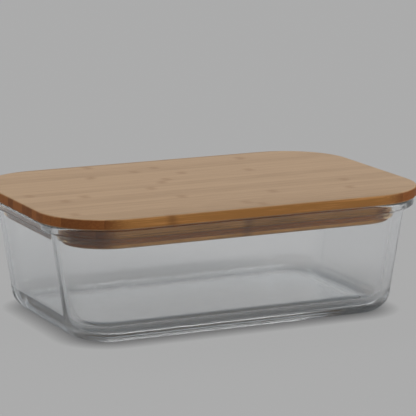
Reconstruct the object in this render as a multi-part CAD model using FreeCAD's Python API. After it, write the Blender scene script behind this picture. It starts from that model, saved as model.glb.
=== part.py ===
import FreeCAD, Part
import math
import os

"""Bento lunch box: a pressed-glass food container with a bamboo plug lid.

Frame: +X along the long side, +Y towards the back, +Z up.  The origin is the
centre of the footprint on the table.  All sizes are millimetres.

Every horizontal outline of the box is the lid's rounded rectangle moved inwards
by some inset, so the rim, the drafted walls, the plug and the seal all follow
one curve.
"""

# ---------------------------------------------------------------- lid outline
LID_LENGTH = 210.0
LID_WIDTH = 142.0
LID_CORNER_R = 36.5
SMALLEST_CORNER_R = 4.0        # no outline is ever sharper than this

# ------------------------------------------------------------ glass container
RIM_OVERHANG = 1.4             # the lid board stands out past the glass rim
RIM_HEIGHT = 5.0
RIM_PROJECTION = 4.8           # rim's outer face, out from the wall below it
RIM_EDGE_R = 1.6               # fire-polished outer edges of the rim
MOUTH_EDGE_R = 1.0             # fire-polished inner edge of the rim
RIM_ROOT_R = 1.5               # blend between the rim's underside and the wall
WALL_HEIGHT = 56.5             # from the table to the rim's underside
WALL_DRAFT = 8.4               # each wall leans out by this over WALL_HEIGHT
WALL_THICKNESS = 5.0
BASE_THICKNESS = 6.0
HEEL_R = 10.8                  # outer radius between wall and base
WELL_R = 8.0                   # inner radius between wall and floor
FOOT_WIDTH = 5.0               # flat ring the box stands on
PUNT_DEPTH = 0.9               # the middle of the base is pressed up by this
PUNT_DRAFT = 0.5               # the press-up narrows by this on the way up

# ----------------------------------------------------------------- bamboo lid
LID_SEAT_GAP = 0.1             # lid board above the glass rim
BOARD_THICKNESS = 5.4
BOARD_TOP_EDGE_R = 0.8
BOARD_LOWER_CHAMFER = 0.5
PLUG_DEPTH = 12.0              # below the board
PLUG_CLEARANCE = 1.8           # plug to glass, at the plug's lower edge
PLUG_EDGE_R = 1.8
MIDDLE_LAMELLAS = 16           # strips between the plug's front and rear grooves
EDGE_LAMELLA_WIDTH = 3.0       # what the router leaves of the front and rear strips
GROOVE_LAND = 1.1              # least wood behind the groove, in the strip it is cut into

# -------------------------------------------------------------- silicone seal
GROOVE_HEIGHT = 3.6
GROOVE_DEPTH = 2.6
GROOVE_TOP_DEPTH = 5.7         # below the board
SEAL_GROOVE_FIT = 0.05         # seal to each face of the groove
SEAL_LIP_THICKNESS = 0.9
SEAL_LIP_CLEARANCE = 0.25      # lip to glass

SAME_PLACE = 1e-4              # edges closer than this to an outline lie on it

# ------------------------------------------------------------- derived levels
DRAFT_SLOPE = WALL_DRAFT / WALL_HEIGHT
RIM_TOP = WALL_HEIGHT + RIM_HEIGHT
BOARD_BOTTOM = RIM_TOP + LID_SEAT_GAP
BOARD_TOP = BOARD_BOTTOM + BOARD_THICKNESS
PLUG_BOTTOM = BOARD_BOTTOM - PLUG_DEPTH
GROOVE_TOP = BOARD_BOTTOM - GROOVE_TOP_DEPTH
GROOVE_BOTTOM = GROOVE_TOP - GROOVE_HEIGHT


def outer_inset(z):
    """Inset of the container's drafted outer wall at height z."""
    return RIM_OVERHANG + RIM_PROJECTION + (WALL_HEIGHT - z) * DRAFT_SLOPE


def inner_inset(z):
    """Inset of the container's inner wall at height z."""
    return outer_inset(z) + WALL_THICKNESS


PLUG_INSET = inner_inset(PLUG_BOTTOM) + PLUG_CLEARANCE


def outline(inset, z):
    """Rounded rectangle at height z, drawn inset from the lid's outline."""
    half_x = LID_LENGTH / 2 - inset
    half_y = LID_WIDTH / 2 - inset
    radius = max(LID_CORNER_R - inset, SMALLEST_CORNER_R)
    edges = []
    for quarter, (sign_x, sign_y) in enumerate(((1, 1), (-1, 1), (-1, -1), (1, -1))):
        centre = FreeCAD.Vector(sign_x * (half_x - radius), sign_y * (half_y - radius), z)
        start, middle, end = (
            centre + FreeCAD.Vector(radius * math.cos(turn), radius * math.sin(turn), 0)
            for turn in (math.pi / 2 * (quarter + part) for part in (0, 0.5, 1))
        )
        if edges:
            edges.append(Part.makeLine(edges[-1].Vertexes[-1].Point, start))
        edges.append(Part.Arc(start, middle, end).toShape())
    edges.append(Part.makeLine(edges[-1].Vertexes[-1].Point, edges[0].Vertexes[0].Point))
    return Part.Wire(edges)


def prism(inset, z_low, z_high):
    """Upright solid on one outline, between two heights."""
    return Part.Face(outline(inset, z_low)).extrude(FreeCAD.Vector(0, 0, z_high - z_low))


def drafted(inset_low, z_low, inset_high, z_high):
    """Solid whose outline moves from one inset to another on the way up."""
    return Part.makeLoft([outline(inset_low, z_low), outline(inset_high, z_high)], True, True)


def edges_along(shape, inset, z):
    """The edges of a shape that lie on one outline."""
    along = outline(inset, z)
    return [
        edge for edge in shape.Edges
        if edge.BoundBox.ZLength < SAME_PLACE and edge.distToShape(along)[0] < SAME_PLACE
    ]


def rounded(shape, radius, inset, z):
    """The shape with its edge along one outline rounded, or filled, to a radius."""
    return shape.makeFillet(radius, edges_along(shape, inset, z))


def chamfered(shape, size, inset, z):
    """The shape with its edge along one outline bevelled."""
    return shape.makeChamfer(size, edges_along(shape, inset, z))


def glass_shell():
    """Outside of the container: drafted wall with a heel radius, and the rim on top."""
    wall = drafted(outer_inset(0), 0, outer_inset(WALL_HEIGHT), WALL_HEIGHT)
    wall = rounded(wall, HEEL_R, outer_inset(0), 0)
    rim = prism(RIM_OVERHANG, WALL_HEIGHT, RIM_TOP)
    for level in (WALL_HEIGHT, RIM_TOP):
        rim = rounded(rim, RIM_EDGE_R, RIM_OVERHANG, level)
    return rounded(wall.fuse(rim), RIM_ROOT_R, outer_inset(WALL_HEIGHT), WALL_HEIGHT)


def food_well():
    """The hollow of the container, open above the rim."""
    above_rim = RIM_TOP + RIM_HEIGHT
    well = drafted(inner_inset(BASE_THICKNESS), BASE_THICKNESS, inner_inset(above_rim), above_rim)
    return rounded(well, WELL_R, inner_inset(BASE_THICKNESS), BASE_THICKNESS)


def punt():
    """The shallow press-up under the base, which leaves a flat foot ring around it."""
    heel_setback = HEEL_R * math.tan((math.pi / 2 - math.atan(DRAFT_SLOPE)) / 2)
    inset = outer_inset(0) + heel_setback + FOOT_WIDTH
    return drafted(inset - PUNT_DRAFT, -PUNT_DEPTH, inset + PUNT_DRAFT, PUNT_DEPTH)


def glass_container():
    """One pressed piece: base, drafted walls and rim."""
    glass = glass_shell().cut(food_well()).cut(punt())
    return rounded(glass, MOUTH_EDGE_R, inner_inset(RIM_TOP), RIM_TOP)


def milled_lid():
    """The lid as it leaves the router: board, plug and the seal's groove in one."""
    board = prism(0, BOARD_BOTTOM, BOARD_TOP)
    board = rounded(board, BOARD_TOP_EDGE_R, 0, BOARD_TOP)
    board = chamfered(board, BOARD_LOWER_CHAMFER, 0, BOARD_BOTTOM)
    plug = prism(PLUG_INSET, PLUG_BOTTOM, BOARD_BOTTOM)
    plug = rounded(plug, PLUG_EDGE_R, PLUG_INSET, PLUG_BOTTOM)
    groove = prism(0, GROOVE_BOTTOM, GROOVE_TOP).cut(
        prism(PLUG_INSET + GROOVE_DEPTH, GROOVE_BOTTOM, GROOVE_TOP))
    return board.fuse(plug).cut(groove)


def glue_lines():
    """Y of every joint between strips, with the lid's front and rear edges.

    Three strips lie between each long edge of the lid and the wood behind the
    groove, and equal strips fill the middle.
    """
    edge = LID_WIDTH / 2
    outermost = edge - EDGE_LAMELLA_WIDTH
    behind_groove = edge - (PLUG_INSET + GROOVE_DEPTH + GROOVE_LAND)
    pitch = 2 * behind_groove / MIDDLE_LAMELLAS
    middle = [pitch * index - behind_groove for index in range(MIDDLE_LAMELLAS + 1)]
    border = [(behind_groove + outermost) / 2, outermost, edge]
    return [-y for y in reversed(border)] + middle + border


def lamellas():
    """The bamboo strips that the lid is glued up from, front to rear."""
    lid = milled_lid()
    lines = glue_lines()
    for y_front, y_rear in zip(lines, lines[1:]):
        slab = Part.makeBox(LID_LENGTH, y_rear - y_front, BOARD_TOP - PLUG_BOTTOM,
                            FreeCAD.Vector(-LID_LENGTH / 2, y_front, PLUG_BOTTOM))
        yield lid.common(slab)


def seal_ring():
    """Silicone ring pressed into the groove, with two lips towards the glass."""
    top = GROOVE_TOP - SEAL_GROOVE_FIT
    bottom = GROOVE_BOTTOM + SEAL_GROOVE_FIT
    ring = prism(PLUG_INSET, bottom, top)
    for lip_bottom in (bottom, top - SEAL_LIP_THICKNESS):
        lip_top = lip_bottom + SEAL_LIP_THICKNESS
        ring = ring.fuse(drafted(inner_inset(lip_bottom) + SEAL_LIP_CLEARANCE, lip_bottom,
                                 inner_inset(lip_top) + SEAL_LIP_CLEARANCE, lip_top))
    return ring.cut(prism(PLUG_INSET + GROOVE_DEPTH - SEAL_GROOVE_FIT, bottom, top))


def main():
    """Write every piece of the box to its own STEP file."""
    os.makedirs("parts", exist_ok=True)
    glass_container().exportStep("parts/glass_container.step")
    seal_ring().exportStep("parts/seal_ring.step")
    for number, lamella in enumerate(lamellas(), start=1):
        lamella.exportStep(f"parts/lid_lamella_{number:02d}.step")


main()
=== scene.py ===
"""Dressing of a pressed-glass lunch box with a laminated bamboo plug lid.

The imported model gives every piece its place.  This script gives each piece its
finish, meshes the glass finely enough to bend light, and sets the table, the
lamps and the camera.
"""

import logging
import math
import random
from dataclasses import dataclass, field
from enum import Enum

import bpy
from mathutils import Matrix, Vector


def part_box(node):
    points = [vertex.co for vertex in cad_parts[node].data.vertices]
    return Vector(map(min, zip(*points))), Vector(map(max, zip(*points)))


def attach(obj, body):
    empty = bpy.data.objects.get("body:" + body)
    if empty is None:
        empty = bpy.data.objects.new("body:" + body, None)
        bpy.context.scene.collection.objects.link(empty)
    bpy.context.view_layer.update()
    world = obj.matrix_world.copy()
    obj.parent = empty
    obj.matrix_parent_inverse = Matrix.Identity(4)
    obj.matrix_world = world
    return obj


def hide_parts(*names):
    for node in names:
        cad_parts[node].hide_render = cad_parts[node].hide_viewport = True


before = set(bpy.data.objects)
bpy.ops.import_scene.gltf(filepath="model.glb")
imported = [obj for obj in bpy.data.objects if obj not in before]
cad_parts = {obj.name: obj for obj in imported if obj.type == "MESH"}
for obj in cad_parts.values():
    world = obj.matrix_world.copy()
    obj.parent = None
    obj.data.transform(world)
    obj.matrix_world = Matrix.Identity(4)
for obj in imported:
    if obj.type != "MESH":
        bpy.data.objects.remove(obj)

LOG = logging.getLogger("lunch_box")
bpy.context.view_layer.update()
MM = 0.001                     # metres in a millimetre
IN_MM = 1000.0                 # millimetres in a metre
IN_COLOUR = {"data_type": "RGBA"}
SMOOTHLY = {"interpolation_type": "SMOOTHSTEP"}
TIMES_PLUS = {"operation": "MULTIPLY_ADD"}
SAME_PLACE_DIGITS = 6          # of a millimetre, where two stations share one ring


class Body(Enum):
    """The two bodies that part when the lid is lifted."""

    CONTAINER = "container"
    LID = "lid"


class StripValue(Enum):
    """What the lid writes on each of its strips for the bamboo's nodes to read."""

    SEED = "strip_seed"            # mm, the strip's place in the grain
    TONE = "strip_tone"            # how far it is towards the pale colours
    CULM = "strip_culm"            # mm, where along it the culm had a node
    FRONT = "strip_front"          # mm, the glue line at its front
    REAR = "strip_rear"            # mm, the glue line at its rear


class Reflection(Enum):
    """Whether polished surfaces mirror a lamp."""

    SHOWN = True
    HIDDEN = False


def srgb(code: str) -> tuple[float, float, float, float]:
    """Turn an sRGB hex colour into the linear RGBA that the shaders take.

    Args:
        code: six hex digits, with a leading hash sign.

    Returns:
        Linear red, green, blue and an alpha of one.
    """
    channels = (int(code[place:place + 2], 16) / 255 for place in (1, 3, 5))
    linear = [c / 12.92 if c <= 0.04045 else ((c + 0.055) / 1.055) ** 2.4 for c in channels]
    return (*linear, 1.0)


def add(tree: bpy.types.NodeTree, kind: str, settings: dict | None = None,
        **inputs: object) -> bpy.types.Node:
    """Add one node to a tree, with its settings and what feeds it.

    Args:
        tree: the material's or world's node tree.
        kind: the node's type, without the ShaderNode prefix.
        settings: properties of the node itself, such as its operation.
        inputs: i0, i1 and so on for a socket by number, or a socket's name with
            underscores for spaces.  A socket is linked, a value is set.

    Returns:
        The new node.
    """
    node = tree.nodes.new("ShaderNode" + kind)
    for name, value in (settings or {}).items():
        setattr(node, name, value)
    for key, value in inputs.items():
        numbered = key[0] == "i" and key[1:].isdigit()
        socket = node.inputs[int(key[1:]) if numbered else key.replace("_", " ")]
        if isinstance(value, bpy.types.NodeSocket):
            tree.links.new(value, socket)
        else:
            socket.default_value = value
    return node


class Finish:
    """A finish that builds its node material once and hands it out."""

    name: str

    def surface(self, tree: bpy.types.NodeTree) -> bpy.types.NodeSocket:
        """Build the nodes of this finish and return its surface shader."""
        raise NotImplementedError

    def inside(self, tree: bpy.types.NodeTree) -> bpy.types.NodeSocket | None:
        """Return the shader of the finish's inside, if it has one."""
        return None

    def material(self) -> bpy.types.Material:
        """Return this finish's material, built on first use.

        Returns:
            The node material, named for the real one.
        """
        found = bpy.data.materials.get(self.name)
        if found:
            return found
        made = bpy.data.materials.new(self.name)
        made.use_nodes = True
        tree = made.node_tree
        tree.nodes.clear()
        output = add(tree, "OutputMaterial", Surface=self.surface(tree))
        inside = self.inside(tree)
        if inside:
            tree.links.new(inside, output.inputs["Volume"])
        return made

    def dress(self, piece: bpy.types.Object) -> None:
        """Give a piece this finish all over.

        Args:
            piece: a mesh object, which keeps its mesh and loses its old slots.
        """
        piece.data.materials.clear()
        piece.data.materials.append(self.material())
        for polygon in piece.data.polygons:
            polygon.material_index = 0


@dataclass(frozen=True)
class ClearSolid(Finish):
    """A clear solid with slow ripples in its skin, which lamps shine through."""

    name: str
    ior: float
    tint: str                      # what both faces together leave of what is seen through
    lamp_light: str                # what one face leaves of a lamp's light
    roughness: float
    roughness_spread: float        # how much rougher the skin is where a ripple stands high
    ripple_width: float            # mm
    ripple_height: float           # mm

    def surface(self, tree: bpy.types.NodeTree) -> bpy.types.NodeSocket:
        """Refracting body, with a plain see-through one for shadows.

        Args:
            tree: the material's node tree.

        Returns:
            The mixed surface shader.
        """
        place = add(tree, "TexCoord").outputs["Object"]
        ripples = add(tree, "TexNoise", Vector=place, Scale=IN_MM / self.ripple_width,
                      Detail=1.0).outputs["Fac"]
        skin = add(tree, "Bump", Height=ripples, Distance=self.ripple_height * MM,
                   Strength=1.0).outputs[0]
        polish = add(tree, "Math", TIMES_PLUS, i0=ripples, i1=self.roughness_spread,
                     i2=self.roughness).outputs[0]
        body = add(tree, "BsdfPrincipled", Base_Color=srgb(self.tint), Roughness=polish,
                   IOR=self.ior, Transmission_Weight=1.0, Normal=skin)
        through = add(tree, "BsdfTransparent", Color=srgb(self.lamp_light))
        shadow = add(tree, "LightPath").outputs["Is Shadow Ray"]
        return add(tree, "MixShader", i0=shadow, i1=body.outputs[0],
                   i2=through.outputs[0]).outputs[0]


@dataclass(frozen=True)
class BorosilicateGlass(ClearSolid):
    """Borosilicate glass, pressed in a mould and fire-polished."""

    # Fire-polishing leaves a liquid gloss, and the mould leaves slow ripples that
    # make the straight lines behind the walls swim a little.  The roughness is more
    # than real glass has, and stands for waves too fine to draw.
    name: str = "Borosilicate glass, pressed"
    ior: float = 1.474
    tint: str = "#ffffff"
    lamp_light: str = "#eef4f8"
    roughness: float = 0.07
    roughness_spread: float = 0.015
    ripple_width: float = 16.0
    ripple_height: float = 0.04
    depth_colour: str = "#7f959c"
    depth_density: float = 1.5     # per metre

    def inside(self, tree: bpy.types.NodeTree) -> bpy.types.NodeSocket:
        """A long way through the glass comes out cool grey-green, a short way clear."""
        return add(tree, "VolumeAbsorption", Color=srgb(self.depth_colour),
                   Density=self.depth_density).outputs[0]


@dataclass(frozen=True)
class ClearSilicone(ClearSolid):
    """Food-grade silicone rubber, moulded clear."""

    # The mould's satin skin blurs the wood behind it and takes the edge off every
    # highlight on the lips.  Clear silicone yellows a little, so the groove looks warm.
    name: str = "Clear silicone rubber, moulded"
    ior: float = 1.41
    tint: str = "#eccb98"
    lamp_light: str = "#fbf8f2"
    roughness: float = 0.06
    roughness_spread: float = 0.10
    ripple_width: float = 3.0
    ripple_height: float = 0.01


@dataclass(frozen=True)
class LaminatedBamboo(Finish):
    """Natural bamboo strips glued side by side, milled, sanded and oiled."""

    # Straight grain in fine dark threads, each strip a little off its neighbour's
    # tone, a faint band where each culm had a node, and dark end grain that drinks
    # the oil and loses its sheen.
    name: str = "Bamboo, side-pressed, sanded and oiled"
    # The faces' colours are partly the sanded faces' own paler tone and partly painted light:
    # overhead light and sheen, painted in as a paler, greyer colour than the sides have.
    sheened_face_pale: str = "#ac8b67"
    sheened_face_deep: str = "#967551"
    side_pale: str = "#c18b52"
    side_deep: str = "#82582b"
    end_pale: str = "#865126"
    end_deep: str = "#5c3112"
    sheened_face_culm: str = "#875f35"
    side_culm: str = "#4f2c12"
    glue: str = "#5a4632"
    face_roughness: float = 0.45
    end_roughness: float = 0.7
    face_gloss: float = 0.4        # the drum sander polishes the two faces
    edge_gloss: float = 0.2        # and leaves what the router cut matt
    face_starts: float = 0.3       # upright share of the normal where a sanded face begins
    face_whole: float = 0.9        # and where the face is all that shows
    end_starts: float = 0.02       # endwise share of the normal where end grain begins
    end_whole: float = 0.5         # and where end grain is all that shows
    thread_width: float = 0.5      # mm; real fibre threads are half as wide
    thread_length: float = 22.0    # mm
    thread_contrast: float = 2.1
    cloud_width: float = 4.0       # mm
    cloud_length: float = 90.0     # mm
    cloud_contrast: float = 1.0
    streak_detail: float = 2.0     # octaves of finer streaks inside each streak
    streak_roughness: float = 0.6
    bundle_width: float = 0.9      # mm; real fibre bundles are half as wide
    bundle_contrast: float = 0.6
    end_contrast: float = 2.2      # end grain shows a strip's tone this many times over
    culm_half_width: float = 2.2   # mm
    culm_wander: float = 5.0       # mm
    culm_shade: float = 0.5        # share of its own colour that the band shows
    glue_half_width: float = 0.12  # mm
    glue_shade: float = 0.3        # share of the glue's colour in the line
    relief: float = 0.03           # mm

    def surface(self, tree: bpy.types.NodeTree) -> bpy.types.NodeSocket:
        """Oiled wood whose colour, gloss and relief follow the grain.

        Args:
            tree: the material's node tree.

        Returns:
            The surface shader.
        """
        coords = add(tree, "TexCoord")
        place = add(tree, "VectorMath", {"operation": "SCALE"}, i0=coords.outputs["Object"],
                    Scale=IN_MM).outputs[0]
        strip = {}
        for value in StripValue:
            written = {"attribute_type": "OBJECT", "attribute_name": value.value}
            strip[value] = add(tree, "Attribute", written).outputs["Fac"]
        own = add(tree, "VectorMath", {"operation": "ADD"}, i0=place,
                  i1=strip[StripValue.SEED]).outputs[0]
        threads = self.streaks(tree, own, self.thread_length, self.thread_width)
        clouds = self.streaks(tree, own, self.cloud_length, self.cloud_width)
        upward, endwise = self.cuts(tree, coords.outputs["Normal"])
        culm = self.culm_band(tree, place, clouds, strip)
        wood = self.wood(tree, own, (threads, clouds), (upward, endwise),
                         (strip[StripValue.TONE], culm))
        colour = add(tree, "Mix", {"blend_type": "MULTIPLY", **IN_COLOUR},
                     i0=self.glue_line(tree, place, strip), i6=wood, i7=srgb(self.glue)).outputs[2]
        roughness = add(tree, "MapRange", Value=endwise, i3=self.face_roughness,
                        i4=self.end_roughness).outputs[0]
        gloss = add(tree, "MapRange", Value=upward, i3=self.edge_gloss,
                    i4=self.face_gloss).outputs[0]
        relief = add(tree, "Bump", Height=threads, Distance=self.relief * MM,
                     Strength=1.0).outputs[0]
        return add(tree, "BsdfPrincipled", Base_Color=colour, Roughness=roughness,
                   Specular_IOR_Level=gloss, Normal=relief).outputs[0]

    def streaks(self, tree: bpy.types.NodeTree, own: bpy.types.NodeSocket,
                length: float, width: float) -> bpy.types.NodeSocket:
        """Noise drawn out along the strips.

        Args:
            tree: the material's node tree.
            own: the strip's own coordinates, in millimetres.
            length: length of a streak along the strip.
            width: width of a streak across it.

        Returns:
            The noise, from nought to one.
        """
        stretched = add(tree, "VectorMath", {"operation": "MULTIPLY"}, i0=own,
                        i1=(1 / length, 1 / width, 1 / width)).outputs[0]
        return add(tree, "TexNoise", Vector=stretched, Scale=1.0, Detail=self.streak_detail,
                   Roughness=self.streak_roughness).outputs["Fac"]

    def cuts(self, tree: bpy.types.NodeTree, normal: bpy.types.NodeSocket
             ) -> tuple[bpy.types.NodeSocket, bpy.types.NodeSocket]:
        """Tell the top and bottom, and the end grain, from the sides of the strips.

        Args:
            tree: the material's node tree.
            normal: the surface's normal in the lid's own axes.

        Returns:
            How much the wood faces up or down, and how much it faces endwise.
        """
        either_way = add(tree, "VectorMath", {"operation": "ABSOLUTE"}, i0=normal).outputs[0]
        facing = add(tree, "SeparateXYZ", Vector=either_way).outputs
        upward = add(tree, "MapRange", SMOOTHLY, Value=facing[2], i1=self.face_starts,
                     i2=self.face_whole).outputs[0]
        endwise = add(tree, "MapRange", SMOOTHLY, Value=facing[0], i1=self.end_starts,
                      i2=self.end_whole).outputs[0]
        return upward, endwise

    def wood(self, tree: bpy.types.NodeTree, own: bpy.types.NodeSocket,
             grain: tuple[bpy.types.NodeSocket, bpy.types.NodeSocket],
             cut: tuple[bpy.types.NodeSocket, bpy.types.NodeSocket],
             strip: tuple[bpy.types.NodeSocket, bpy.types.NodeSocket]) -> bpy.types.NodeSocket:
        """Colour of the wood wherever it is cut.

        Args:
            tree: the material's node tree.
            own: the strip's own coordinates, in millimetres.
            grain: the fine threads and the broad clouds.
            cut: how much the wood faces up or down, and endwise.
            strip: the strip's tone, and the strength of its culm's band.

        Returns:
            The colour.
        """
        threads, clouds = grain
        upward, endwise = cut
        tone, culm = strip
        fine = add(tree, "Math", TIMES_PLUS, i0=threads, i1=self.thread_contrast,
                   i2=-self.thread_contrast / 2).outputs[0]
        broad = add(tree, "Math", TIMES_PLUS, i0=clouds, i1=self.cloud_contrast,
                    i2=fine).outputs[0]
        level = add(tree, "Math", {"operation": "ADD", "use_clamp": True}, i0=broad,
                    i1=tone).outputs[0]
        along_grain = []
        for deep, pale, band in ((self.sheened_face_deep, self.sheened_face_pale, self.sheened_face_culm),
                                 (self.side_deep, self.side_pale, self.side_culm)):
            plain = add(tree, "Mix", IN_COLOUR, i0=level, i6=srgb(deep), i7=srgb(pale)).outputs[2]
            along_grain.append(add(tree, "Mix", IN_COLOUR, i0=culm, i6=plain,
                                   i7=srgb(band)).outputs[2])
        face, side = along_grain
        bundles = add(tree, "TexVoronoi", Vector=own,
                      Scale=1 / self.bundle_width).outputs["Distance"]
        speckle = add(tree, "Math", {"operation": "MULTIPLY"}, i0=bundles,
                      i1=self.bundle_contrast).outputs[0]
        mottle = add(tree, "Math", {"use_clamp": True, **TIMES_PLUS}, i0=tone,
                     i1=self.end_contrast, i2=speckle).outputs[0]
        end = add(tree, "Mix", IN_COLOUR, i0=mottle, i6=srgb(self.end_deep),
                  i7=srgb(self.end_pale)).outputs[2]
        around = add(tree, "Mix", IN_COLOUR, i0=endwise, i6=side, i7=end).outputs[2]
        # the top and bottom take the faces' colours, which hold painted overhead light and sheen
        return add(tree, "Mix", IN_COLOUR, i0=upward, i6=around, i7=face).outputs[2]

    def culm_band(self, tree: bpy.types.NodeTree, place: bpy.types.NodeSocket,
                  clouds: bpy.types.NodeSocket,
                  strip: dict[StripValue, bpy.types.NodeSocket]) -> bpy.types.NodeSocket:
        """The faint band across a strip where its culm had a node.

        Args:
            tree: the material's node tree.
            place: place in the lid, in millimetres.
            clouds: the broad streaks, which make the band wander.
            strip: the values that the lid gives to each strip.

        Returns:
            Strength of the band.
        """
        along = add(tree, "SeparateXYZ", Vector=place).outputs[0]
        astray = add(tree, "Math", TIMES_PLUS, i0=clouds, i1=self.culm_wander,
                     i2=along).outputs[0]
        away = add(tree, "Math", {"operation": "SUBTRACT"}, i0=astray,
                   i1=strip[StripValue.CULM]).outputs[0]
        apart = add(tree, "Math", {"operation": "ABSOLUTE"}, i0=away).outputs[0]
        return add(tree, "MapRange", SMOOTHLY, Value=apart, i1=0.0,
                   i2=2 * self.culm_half_width, i3=self.culm_shade, i4=0.0).outputs[0]

    def glue_line(self, tree: bpy.types.NodeTree, place: bpy.types.NodeSocket,
                  strip: dict[StripValue, bpy.types.NodeSocket]) -> bpy.types.NodeSocket:
        """The hairline of glue along both edges of a strip.

        Args:
            tree: the material's node tree.
            place: place in the lid, in millimetres.
            strip: the values that the lid gives to each strip.

        Returns:
            Strength of the line.
        """
        across = add(tree, "SeparateXYZ", Vector=place).outputs[1]
        front = add(tree, "Math", {"operation": "SUBTRACT"}, i0=across,
                    i1=strip[StripValue.FRONT]).outputs[0]
        rear = add(tree, "Math", {"operation": "SUBTRACT"}, i0=strip[StripValue.REAR],
                   i1=across).outputs[0]
        nearest = add(tree, "Math", {"operation": "MINIMUM"}, i0=front, i1=rear).outputs[0]
        return add(tree, "MapRange", SMOOTHLY, Value=nearest, i1=0.0,
                   i2=2 * self.glue_half_width, i3=self.glue_shade, i4=0.0).outputs[0]


@dataclass(frozen=True)
class Corner:
    """One corner of an upright section, and the radius that rounds it."""

    inset: float
    height: float
    radius: float = 0.0


@dataclass(frozen=True)
class Station:
    """One place on a section, and the way the surface faces there."""

    inset: float
    height: float
    facing: tuple[float, float]


@dataclass(frozen=True)
class Section:
    """An upright section, walked with the solid on the right-hand side.

    Insets grow towards the middle of the box, and heights grow upwards.
    """

    corners: tuple[Corner, ...]
    finest_turn: float = math.radians(5)  # between one station and the next on an arc

    def spans(self) -> list[tuple[Station, Station]]:
        """Cut the section into short spans that are each smooth.

        Returns:
            The start and end station of every span, in order.
        """
        runs = [self._direction(a, b) for a, b in zip(self.corners, self.corners[1:])]
        walk = [[self._station(self.corners[0], runs[0])]]
        for corner, into, out in zip(self.corners[1:], runs, runs[1:]):
            if corner.radius:
                walk[-1] += self._arc(corner, into, out)
            else:
                walk[-1].append(self._station(corner, into))
                walk.append([self._station(corner, out)])
        walk[-1].append(self._station(self.corners[-1], runs[-1]))
        return [pair for stretch in walk for pair in zip(stretch, stretch[1:])]

    @staticmethod
    def _direction(start: Corner, end: Corner) -> Vector:
        """Unit vector from one corner to the next, as inset and height."""
        return Vector((end.inset - start.inset, end.height - start.height)).normalized()

    @staticmethod
    def _station(corner: Corner, along: Vector) -> Station:
        """The station at a corner, facing square to one of its runs."""
        return Station(corner.inset, corner.height, (-along.y, along.x))

    def _arc(self, corner: Corner, into: Vector, out: Vector) -> list[Station]:
        """The stations on the arc that rounds one corner.

        Args:
            corner: the corner and its radius.
            into: direction of the run that ends at the corner.
            out: direction of the run that starts there.

        Returns:
            The stations from the arc's start to its end.
        """
        turn = math.atan2(into.x * out.y - into.y * out.x, into.dot(out))
        side = math.copysign(1, turn)
        setback = corner.radius * math.tan(abs(turn) / 2)
        start = Vector((corner.inset, corner.height)) - into * setback
        spoke = Vector((into.y, -into.x)) * side
        centre = start - spoke * corner.radius
        steps = max(2, math.ceil(abs(turn) / self.finest_turn))
        stations = []
        for step in range(steps + 1):
            cos, sin = math.cos(turn * step / steps), math.sin(turn * step / steps)
            arm = Vector((spoke.x * cos - spoke.y * sin, spoke.x * sin + spoke.y * cos))
            place = centre + arm * corner.radius
            stations.append(Station(place.x, place.y, (-arm.x * side, -arm.y * side)))
        return stations


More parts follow.
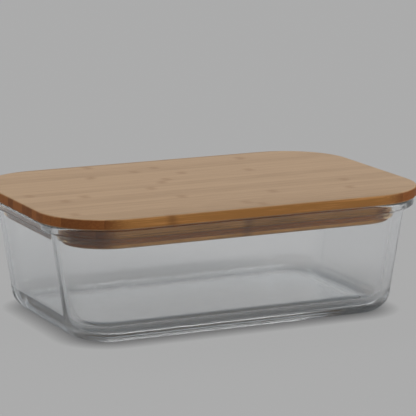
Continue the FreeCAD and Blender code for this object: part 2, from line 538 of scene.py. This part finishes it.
@dataclass
class GlassContainer:
    """The pressed container, meshed finely enough to bend light without facets.

    Sizes are in millimetres and insets are measured inwards from the lid's edge.
    """

    length: float = 210.0
    width: float = 142.0
    corner_radius: float = 36.5
    rim_inset: float = 1.4
    rim_height: float = 5.0
    rim_projection: float = 4.8
    rim_edge_radius: float = 1.6
    rim_root_radius: float = 1.5
    mouth_edge_radius: float = 1.0
    wall_height: float = 56.5
    draft: float = 8.4
    wall: float = 5.0
    base: float = 6.0
    heel_radius: float = 10.8
    well_radius: float = 8.0
    foot_width: float = 5.0
    punt_depth: float = 0.9
    punt_draft: float = 0.5
    corner_steps: int = 24         # on each of the four upright corners
    finish: Finish = field(default_factory=BorosilicateGlass)

    def outer(self, height: float) -> float:
        """Inset of the outer wall at a height."""
        return self.rim_inset + self.rim_projection + (1 - height / self.wall_height) * self.draft

    def section(self) -> Section:
        """The container's section, from the middle of its underside to its floor.

        Returns:
            The section, walked out along the base, up the wall, over the rim and
            down into the well.
        """
        top = self.wall_height + self.rim_height
        setback = self.heel_radius * math.tan(
            (math.pi / 2 - math.atan(self.draft / self.wall_height)) / 2)
        foot = self.outer(0) + setback + self.foot_width
        well_floor = self.outer(self.base) + self.wall
        return Section((
            Corner(foot + self.punt_draft, self.punt_depth),
            Corner(foot, 0),
            Corner(self.outer(0), 0, self.heel_radius),
            Corner(self.outer(self.wall_height), self.wall_height, self.rim_root_radius),
            Corner(self.rim_inset, self.wall_height, self.rim_edge_radius),
            Corner(self.rim_inset, top, self.rim_edge_radius),
            Corner(self.outer(top) + self.wall, top, self.mouth_edge_radius),
            Corner(well_floor, self.base, self.well_radius),
            Corner(well_floor + 2 * self.well_radius, self.base),
        ))

    def ring(self, inset: float, height: float) -> list[tuple[Vector, Vector]]:
        """The rounded rectangle at one inset, anticlockwise.

        Args:
            inset: distance inwards from the lid's edge.
            height: height above the table.

        Returns:
            Each point in metres, with the level direction it faces.
        """
        radius = self.corner_radius - inset
        half_x = self.length / 2 - self.corner_radius
        half_y = self.width / 2 - self.corner_radius
        points = []
        for quarter, (side_x, side_y) in enumerate(((1, 1), (-1, 1), (-1, -1), (1, -1))):
            for step in range(self.corner_steps + 1):
                turn = math.pi / 2 * (quarter + step / self.corner_steps)
                out = Vector((math.cos(turn), math.sin(turn), 0))
                centre = Vector((side_x * half_x, side_y * half_y, height))
                points.append(((centre + out * radius) * MM, out))
        return points

    def build(self) -> bpy.types.Object:
        """Sweep the section round the box, close its two floors and dress it.

        Returns:
            The glass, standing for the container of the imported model.
        """
        verts, faces, normals, rings = [], [], [], {}

        def ring_start(station: Station) -> int:
            """Find a station's ring of vertices, and make it on first use.

            Args:
                station: the place on the section that the ring passes through.

            Returns:
                The number of the ring's first vertex.
            """
            key = (round(station.inset, SAME_PLACE_DIGITS), round(station.height, SAME_PLACE_DIGITS))
            if key not in rings:
                rings[key] = len(verts)
                verts.extend(point for point, _ in self.ring(station.inset, station.height))
            return rings[key]

        spans = self.section().spans()
        outs = [out for _, out in self.ring(0, 0)]
        count = len(outs)
        for start, end in spans:
            low, high = ring_start(start), ring_start(end)
            for here in range(count):
                beyond = (here + 1) % count
                faces.append((low + here, low + beyond, high + beyond, high + here))
                for station, spot in ((start, here), (start, beyond),
                                      (end, beyond), (end, here)):
                    inwards, up = station.facing
                    normals.append(Vector((0, 0, up)) - outs[spot] * inwards)
        for station, up in ((spans[0][0], -1), (spans[-1][1], 1)):
            first = ring_start(station)
            loop = [first + spot for spot in range(count)]
            faces.append(tuple(loop if up > 0 else reversed(loop)))
            normals += [Vector((0, 0, up))] * count
        mesh = bpy.data.meshes.new("pressed_container")
        mesh.from_pydata(verts, [], faces)
        mesh.polygons.foreach_set("use_smooth", [True] * len(faces))
        mesh.normals_split_custom_set(normals)
        mesh.update()
        glass = bpy.data.objects.new("pressed_container", mesh)
        bpy.context.scene.collection.objects.link(glass)
        self.finish.dress(glass)
        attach(glass, Body.CONTAINER.value)
        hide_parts("glass_container")
        LOG.info("glass container: %d faces round %d stations", len(faces), len(rings))
        self.finish.dress(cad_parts["glass_container"])
        return glass


@dataclass
class SealRing:
    """The silicone ring in the lid's groove."""

    finish: Finish = field(default_factory=ClearSilicone)

    def dress(self) -> None:
        """Give the ring its finish."""
        self.finish.dress(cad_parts["seal_ring"])
        LOG.info("seal ring: %s", self.finish.material().name)


@dataclass
class BambooLid:
    """The lid's glued strips, each from its own length of bamboo."""

    finish: Finish = field(default_factory=LaminatedBamboo)
    tone_low: float = 0.0
    tone_high: float = 0.55
    outer_tone: float = -0.5       # the two outermost strips come from near the bark
    seed_range: float = 400.0      # mm between the strips' places in the grain
    outside: float = 10.0          # mm past the lid's edge, where no glue line shows
    front_culm: float = -46.0      # mm, the node that shows in the board's front edge
    random_seed: int = 7

    def strips(self) -> list[bpy.types.Object]:
        """The lid's strips, front to rear."""
        return [node for name, node in sorted(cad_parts.items())
                if name.startswith("lid_lamella")]

    def dress(self) -> None:
        """Give each strip the finish, and its own tone, grain and culm node."""
        draw = random.Random(self.random_seed)
        strips = self.strips()
        for number, strip in enumerate(strips, start=1):
            self.finish.dress(strip)
            low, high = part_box(strip.name)
            front, rear, half = low[1] * IN_MM, high[1] * IN_MM, high[0] * IN_MM
            first, last = number == 1, number == len(strips)
            tone = draw.uniform(self.tone_low, self.tone_high)
            culm = draw.uniform(-half, half)
            values = {
                StripValue.TONE: self.outer_tone if first or last else tone,
                StripValue.CULM: self.front_culm if first else culm,
                StripValue.SEED: draw.uniform(0, self.seed_range),
                StripValue.FRONT: front - self.outside if first else front,
                StripValue.REAR: rear + self.outside if last else rear,
            }
            for value, amount in values.items():
                strip[value.value] = amount
            LOG.info("%s: tone %.2f, culm node at %.0f mm", strip.name,
                     values[StripValue.TONE], values[StripValue.CULM])


@dataclass(frozen=True)
class PaintedTable(Finish):
    """A smooth table top in matt pale paint."""

    # Matt paint shows no reflection of the box, and a soft painted shadow at the foot.
    name: str = "Table top, matt painted"
    colour: str = "#ababab"
    plain_share: float = 0.95      # of what the eye sees of it, straight on
    glass_share: float = 0.14      # of what the eye sees of it through glass
    contact_reach: float = 9.0     # mm out from the foot where the painted shadow darkens the table
    contact_depth: float = 0.6     # tone lost to the painted shadow where the foot hides all light

    def surface(self, tree: bpy.types.NodeTree) -> bpy.types.NodeSocket:
        """Evenly lit-looking paint with a painted shadow at the foot, that still takes the box's
        shadow.

        Args:
            tree: the material's node tree.

        Returns:
            The surface shader.
        """
        path = add(tree, "LightPath").outputs
        straight = add(tree, "Math", {"operation": "MULTIPLY"}, i0=path["Is Camera Ray"],
                       i1=self.plain_share).outputs[0]
        share = add(tree, "Math", TIMES_PLUS, i0=path["Is Transmission Ray"],
                    i1=self.glass_share, i2=straight).outputs[0]
        lit = add(tree, "BsdfDiffuse", Color=srgb(self.colour))
        # painted contact shadow: the plain tone the eye sees darkens near the box
        painted_contact_shadow = add(tree, "AmbientOcclusion", Color=srgb(self.colour),
                      Distance=self.contact_reach * MM).outputs["Color"]
        depth = add(tree, "Math", {"operation": "MULTIPLY"}, i0=path["Is Camera Ray"],
                    i1=self.contact_depth).outputs[0]
        shaded = add(tree, "Mix", IN_COLOUR, i0=depth, i6=srgb(self.colour),
                     i7=painted_contact_shadow).outputs[2]
        plain = add(tree, "Emission", Color=shaded, Strength=1.0)
        return add(tree, "MixShader", i0=share, i1=lit.outputs[0], i2=plain.outputs[0]).outputs[0]


@dataclass
class Table:
    """The table, far larger than the view."""

    radius: float = 6.0            # m
    sides: int = 96
    air_gap: float = 0.1           # mm of air that keeps the glass from wetting the table
    finish: Finish = field(default_factory=PaintedTable)

    def build(self) -> None:
        """Lay the table under the box."""
        bpy.ops.mesh.primitive_circle_add(vertices=self.sides, radius=self.radius,
                                          fill_type="NGON")
        table = bpy.context.object
        table.name = "table"
        table.location.z = -self.air_gap * MM
        self.finish.dress(table)
        LOG.info("table: %.1f m across", 2 * self.radius)


@dataclass
class Dome:
    """The studio's walls and ceiling: even light, and what the glass mirrors and shows."""

    backdrop: str = "#ababab"      # what the eye sees past the table's far edge
    horizon: str = "#e8e8e8"       # the pale walls, as the glass shows them
    ceiling: str = "#50606b"       # the dim ceiling, as the glass shows it
    horizon_top: float = 0.22      # sine of the elevation where the walls start to darken
    ceiling_from: float = 0.38     # sine of the elevation where the ceiling is reached
    light: float = 0.6
    light_colour: str = "#f2f5f8"

    def build(self) -> None:
        """Set the world."""
        world = bpy.data.worlds.new("studio")
        bpy.context.scene.world = world
        world.use_nodes = True
        tree = world.node_tree
        tree.nodes.clear()
        direction = add(tree, "TexCoord").outputs["Generated"]
        height = add(tree, "SeparateXYZ", Vector=direction).outputs[2]
        rise = add(tree, "MapRange", SMOOTHLY, Value=height, i1=self.horizon_top,
                   i2=self.ceiling_from).outputs[0]
        walls = add(tree, "Mix", IN_COLOUR, i0=rise, i6=srgb(self.horizon),
                    i7=srgb(self.ceiling)).outputs[2]
        path = add(tree, "LightPath").outputs
        mirrored = add(tree, "Math", {"operation": "MAXIMUM"}, i0=path["Is Glossy Ray"],
                       i1=path["Is Transmission Ray"]).outputs[0]
        even = add(tree, "Background", Color=srgb(self.light_colour), Strength=self.light)
        room = add(tree, "Background", Color=walls, Strength=1.0)
        plain = add(tree, "Background", Color=srgb(self.backdrop), Strength=1.0)
        unseen = add(tree, "MixShader", i0=mirrored, i1=even.outputs[0], i2=room.outputs[0])
        both = add(tree, "MixShader", i0=path["Is Camera Ray"], i1=unseen.outputs[0],
                   i2=plain.outputs[0])
        add(tree, "OutputWorld", Surface=both.outputs[0])
        LOG.info("dome: backdrop %s, walls %s, ceiling %s", self.backdrop, self.horizon,
                 self.ceiling)


@dataclass(frozen=True)
class SoftBox:
    """A large lamp, far enough away to light everything from one direction."""

    towards: tuple[float, float, float]
    across: float                  # degrees of the sky it fills
    strength: float
    reflection: Reflection = Reflection.SHOWN

    def build(self, name: str) -> None:
        """Hang the lamp.

        Args:
            name: what the lamp is for.
        """
        data = bpy.data.lights.new(name, "SUN")
        data.angle, data.energy = math.radians(self.across), self.strength
        lamp = bpy.data.objects.new(name, data)
        bpy.context.scene.collection.objects.link(lamp)
        lamp.visible_glossy = lamp.visible_transmission = self.reflection.value
        lamp.rotation_mode = "QUATERNION"
        lamp.rotation_quaternion = (-Vector(self.towards)).to_track_quat("-Z", "Y")
        LOG.info("%s: %.2f over %.0f degrees", name, self.strength, self.across)


@dataclass
class Camera:
    """A long lens, front left of the box and a little above it."""

    azimuth: float = -25.14        # degrees round from the front
    elevation: float = 11.35       # degrees
    distance: float = 1.27698      # m
    lens: float = 210.1            # mm, on the default 36 mm sensor
    aim_right: float = 3.96        # mm
    aim_height: float = 53.5       # mm
    nearest: float = 0.05          # m
    farthest: float = 50.0         # m

    def build(self) -> None:
        """Stand the camera and make it the scene's."""
        data = bpy.data.cameras.new("camera")
        data.lens = self.lens
        data.clip_start, data.clip_end = self.nearest, self.farthest
        camera = bpy.data.objects.new("camera", data)
        bpy.context.scene.collection.objects.link(camera)
        turn, rise = math.radians(self.azimuth), math.radians(self.elevation)
        right = Vector((math.cos(turn), math.sin(turn), 0))
        front = Vector((math.sin(turn), -math.cos(turn), 0))
        back = front * math.cos(rise) + Vector((0, 0, math.sin(rise)))
        aim = right * self.aim_right * MM + Vector((0, 0, self.aim_height * MM))
        camera.location = aim + back * self.distance
        camera.rotation_mode = "QUATERNION"
        camera.rotation_quaternion = (-back).to_track_quat("-Z", "Y")
        bpy.context.scene.camera = camera
        LOG.info("camera: %.0f mm lens, %.2f m away", self.lens, self.distance)


@dataclass
class Studio:
    """Everything round the box: table, dome, lamps, camera and light paths."""

    table: Table = field(default_factory=Table)
    dome: Dome = field(default_factory=Dome)
    camera: Camera = field(default_factory=Camera)
    lamps: dict[str, SoftBox] = field(default_factory=lambda: {
        # lights the lid's edge most at its right-hand corner
        "front_right_lamp": SoftBox((1.0, -0.7, 0.6), 50.0, 0.75),
        # lights the top of the lid, and would glare in the glass
        "rear_lamp": SoftBox((-0.2, 0.9, 1.1), 50.0, 0.6, Reflection.HIDDEN),
        # draws the thin light line where the rear wall turns into the floor
        "rear_right_lamp": SoftBox((0.42, 0.5, 0.76), 18.0, 0.33),
        # lights the end grain at the left
        "left_lamp": SoftBox((-1.0, 0.35, 0.5), 60.0, 0.65, Reflection.HIDDEN),
        # lights the plug under the board, and would glare in the rear wall
        "low_front_lamp": SoftBox((0.6, -1.0, 0.18), 40.0, 1.7, Reflection.HIDDEN),
    })
    glass_bounces: int = 48        # light crosses two walls and a rim, and turns inside them
    mirror_bounces: int = 24       # inside the rim, light is mirrored many times

    def build(self) -> None:
        """Set the whole studio."""
        self.table.build()
        self.dome.build()
        for name, lamp in self.lamps.items():
            lamp.build(name)
        self.camera.build()
        scene = bpy.context.scene
        scene.cycles.max_bounces = self.glass_bounces
        scene.cycles.transmission_bounces = self.glass_bounces
        scene.cycles.transparent_max_bounces = self.glass_bounces
        scene.cycles.glossy_bounces = self.mirror_bounces
        scene.view_settings.view_transform = "Standard"


def main() -> None:
    """Dress every piece and set the studio."""
    logging.basicConfig(level=logging.INFO)
    GlassContainer().build()
    SealRing().dress()
    BambooLid().dress()
    Studio().build()


if __name__ == "__main__":
    main()
